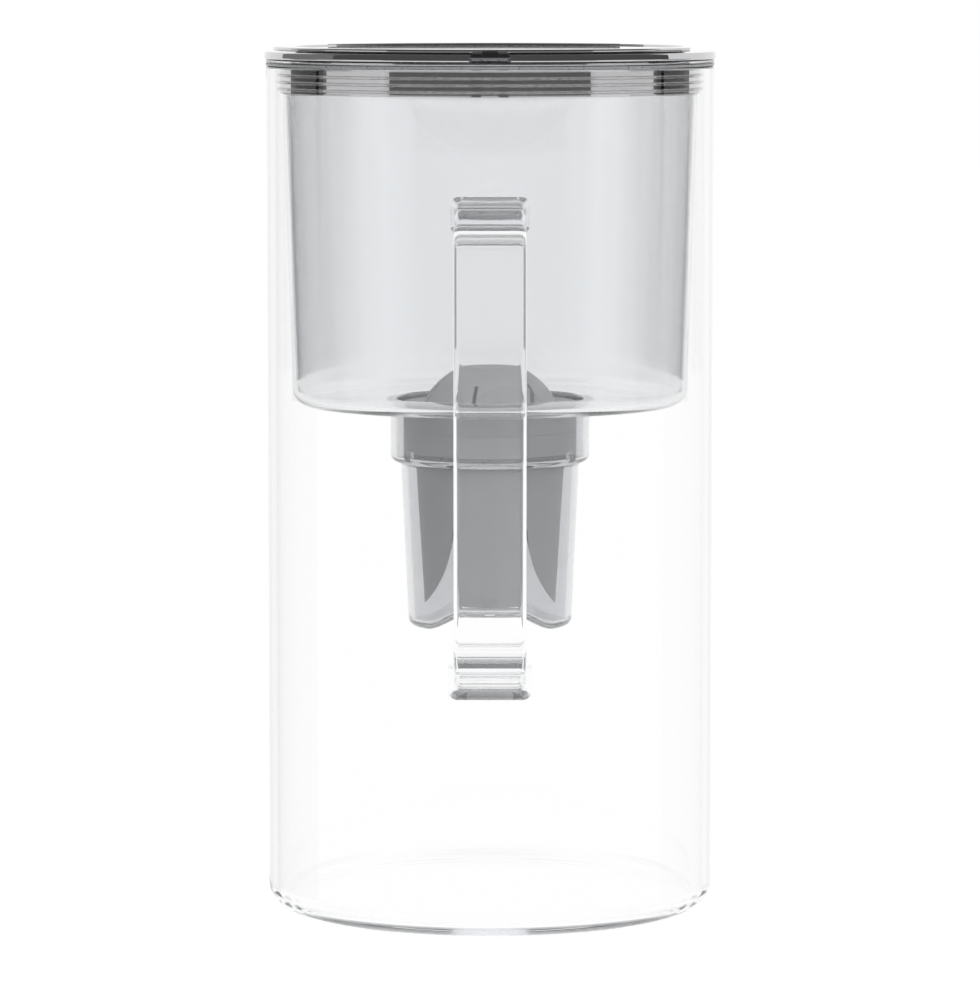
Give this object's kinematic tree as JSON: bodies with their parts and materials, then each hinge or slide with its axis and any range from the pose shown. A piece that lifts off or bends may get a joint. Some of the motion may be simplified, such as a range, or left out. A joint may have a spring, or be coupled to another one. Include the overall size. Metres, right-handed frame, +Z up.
{
  "type": "water filter pitcher",
  "caption": "Clear glass jar with a glass strap handle, a lift-out clear hopper holding a domed filter cartridge, and a polished lid with a hinged fill cover.",
  "frame": {"origin": "the middle of the jar's flat base, on the table", "axes": "+Z up; -Y towards the handle and the camera, +Y towards the pouring lip; +X to the right when the handle faces the viewer"},
  "size_m": [0.1412, 0.199, 0.2699],
  "materials": {
    "glass": "clear, polished",
    "clear_plastic": "clear with a grey tint",
    "silicone": "glossy grey",
    "grey_plastic": "satin grey",
    "polished_steel": "dark polish",
    "white_plastic": "satin white",
    "carbon": "black granules",
    "resin": "amber beads",
    "fibre": "white felt"
  },
  "bodies": {
    "jar": {"glass_jar": "glass", "glass_handle": "glass"},
    "hopper": {"hopper_bowl": "clear_plastic", "rim_gasket": "silicone", "neck_band": "polished_steel", "wiper_low": "silicone", "wiper_mid": "silicone", "wiper_top": "silicone", "well_sleeve": "clear_plastic"},
    "cartridge": {"cartridge_shell": "grey_plastic", "cartridge_dome": "grey_plastic", "cartridge_seal": "silicone", "inlet_screen": "fibre", "carbon_bed": "carbon", "separator_pad": "fibre", "resin_bed": "resin", "outlet_screen": "fibre"},
    "lid": {"lid_ring": "polished_steel", "hinge_bracket": "polished_steel", "hinge_pin": "polished_steel"},
    "fill_cover": {"cover_plate": "polished_steel", "cover_hinge": "polished_steel", "cover_liner": "white_plastic", "cover_gasket": "silicone"}
  },
  "joints": [
    {"name": "hopper_lift", "type": "slide", "parent": "jar", "child": "hopper", "axis": [0, 0, 1], "range_m": [0, 0.2]},
    {"name": "cartridge_lift", "type": "slide", "parent": "hopper", "child": "cartridge", "axis": [0, 0, 1], "range_m": [0, 0.085]},
    {"name": "lid_lift", "type": "slide", "parent": "hopper", "child": "lid", "axis": [0, 0, 1], "range_m": [0, 0.06]},
    {"name": "cover_hinge_turn", "type": "hinge", "parent": "lid", "child": "fill_cover", "pos_m": [0, -0.06925, 0.26755], "axis": [1, 0, 0], "range_deg": [0, 100]}
  ]
}
